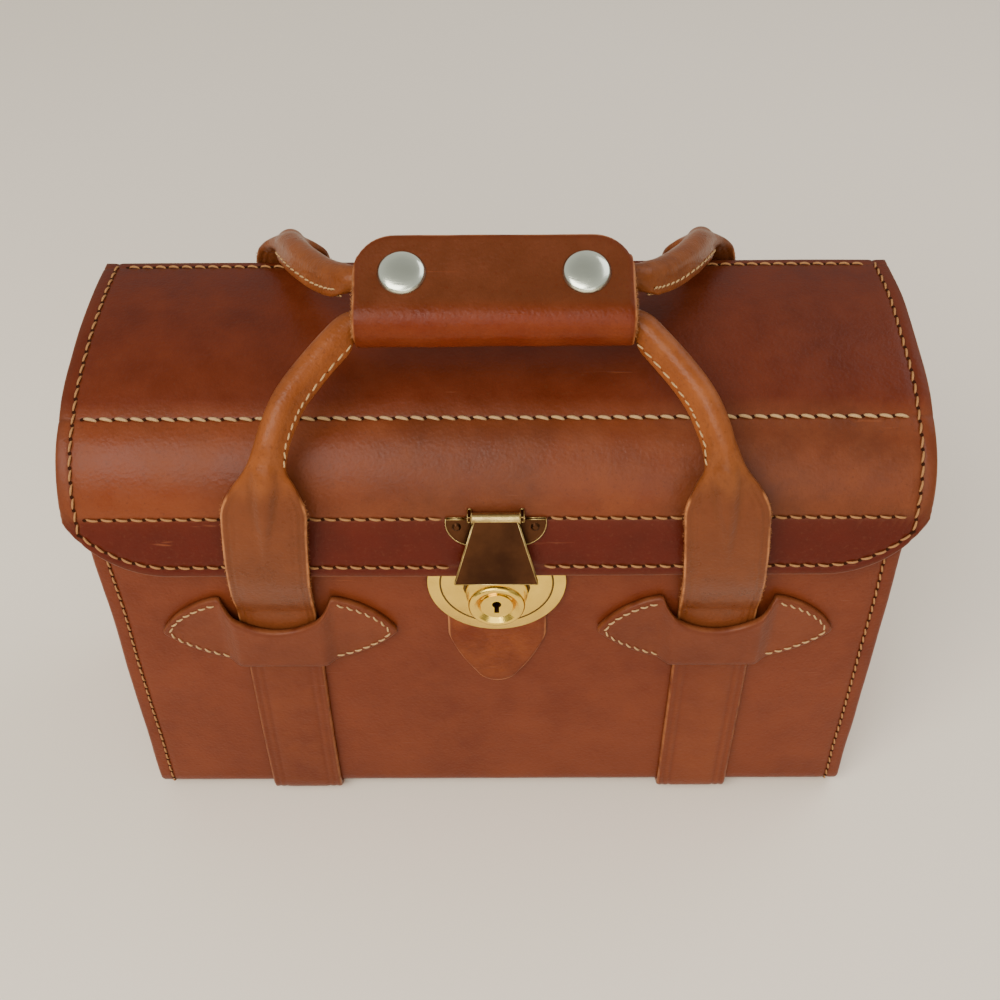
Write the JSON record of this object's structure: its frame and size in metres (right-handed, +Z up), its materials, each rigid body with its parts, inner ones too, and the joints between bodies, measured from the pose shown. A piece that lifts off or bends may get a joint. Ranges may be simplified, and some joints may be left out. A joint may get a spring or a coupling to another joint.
{
  "type": "leather instrument case",
  "caption": "Boxy stitched leather carrying case with a domed lid, two rolled handles joined by a buttoned grip, strap keepers and a brass hasp lock.",
  "frame": {"origin": "midway between the body's front and back, on the surface the case stands on", "axes": "+X towards the right end, +Y towards the back, +Z up; the lock faces -Y"},
  "size_m": [0.292, 0.1185, 0.2402],
  "materials": {
    "body_leather": "smooth, waxed, worn at the edges",
    "lid_leather": "smooth, waxed, worn at the edges",
    "hinge_leather": "thin and supple",
    "strap_leather": "creased along both edges",
    "keeper_leather": "smooth, stitched",
    "handle_leather": "rubbed lighter by hands",
    "grip_leather": "smooth, darkened by hands",
    "lining": "short flock",
    "board": "pressed fibre board",
    "bright_brass": "polished, lightly scratched",
    "aged_brass": "darkened",
    "steel": "plain",
    "nickel": "satin nickel plate"
  },
  "bodies": {
    "case": {"body_wrap": "body_leather", "body_end_left": "body_leather", "body_end_right": "body_leather", "body_lining": "lining", "hinge_leather": "hinge_leather", "belt_left": "strap_leather", "belt_right": "strap_leather", "keeper_front_left": "keeper_leather", "keeper_front_right": "keeper_leather", "keeper_back_left": "keeper_leather", "keeper_back_right": "keeper_leather", "lock_tab": "body_leather", "lock_plate": "bright_brass", "lock_boss": "bright_brass", "lock_prongs": "steel", "lock_backplate": "steel"},
    "lid": {"lid_cover": "lid_leather", "lid_end_left": "lid_leather", "lid_end_right": "lid_leather", "lid_back_panel": "lid_leather", "lid_front_stiffener": "board", "lid_top_board": "board", "lid_lining": "lining", "hasp_hinge_plate": "aged_brass", "hasp_rivets": "aged_brass", "hasp_pin": "aged_brass"},
    "hasp": {"hasp_plate": "aged_brass", "hasp_staple": "aged_brass"},
    "front_handle": {"front_handle_leather": "handle_leather"},
    "back_handle": {"back_handle_leather": "handle_leather", "grip_wrap": "grip_leather", "snap_studs": "nickel", "snap_posts": "nickel"},
    "grip_flap": {"grip_flap": "grip_leather", "snap_caps": "nickel", "snap_sockets": "nickel"},
    "lock_plug": {"lock_plug": "bright_brass"}
  },
  "joints": [
    {"name": "lid_hinge", "type": "hinge", "parent": "case", "child": "lid", "pos_m": [0, 0.0478, 0.148], "axis": [-1, 0, 0], "range_deg": [0, 90], "deforming": ["hinge_leather"]},
    {"name": "front_handle_swing", "type": "hinge", "parent": "case", "child": "front_handle", "pos_m": [0, -0.0493, 0.114], "axis": [1, 0, 0], "range_deg": [0, 95]},
    {"name": "back_handle_swing", "type": "hinge", "parent": "case", "child": "back_handle", "pos_m": [0, 0.0493, 0.114], "axis": [-1, 0, 0], "range_deg": [0, 95]},
    {"name": "grip_flap_open", "type": "hinge", "parent": "back_handle", "child": "grip_flap", "pos_m": [0, -0.01924, 0.21334], "axis": [1, 0, 0], "range_deg": [0, 135], "deforming": ["grip_flap"]},
    {"name": "hasp_swing", "type": "hinge", "parent": "lid", "child": "hasp", "pos_m": [0, -0.05228, 0.1618], "axis": [-1, 0, 0], "range_deg": [0, 110]},
    {"name": "lock_plug_turn", "type": "hinge", "parent": "case", "child": "lock_plug", "pos_m": [0, -0.055, 0.124], "axis": [0, 1, 0], "range_deg": [0, 90]}
  ],
  "couplings": [
    {"joint": "front_handle_swing", "follows": "lid_hinge", "ratio": 1.05},
    {"joint": "back_handle_swing", "follows": "lid_hinge", "ratio": 1.05},
    {"joint": "grip_flap_open", "follows": "lid_hinge", "ratio": 1.5}
  ]
}
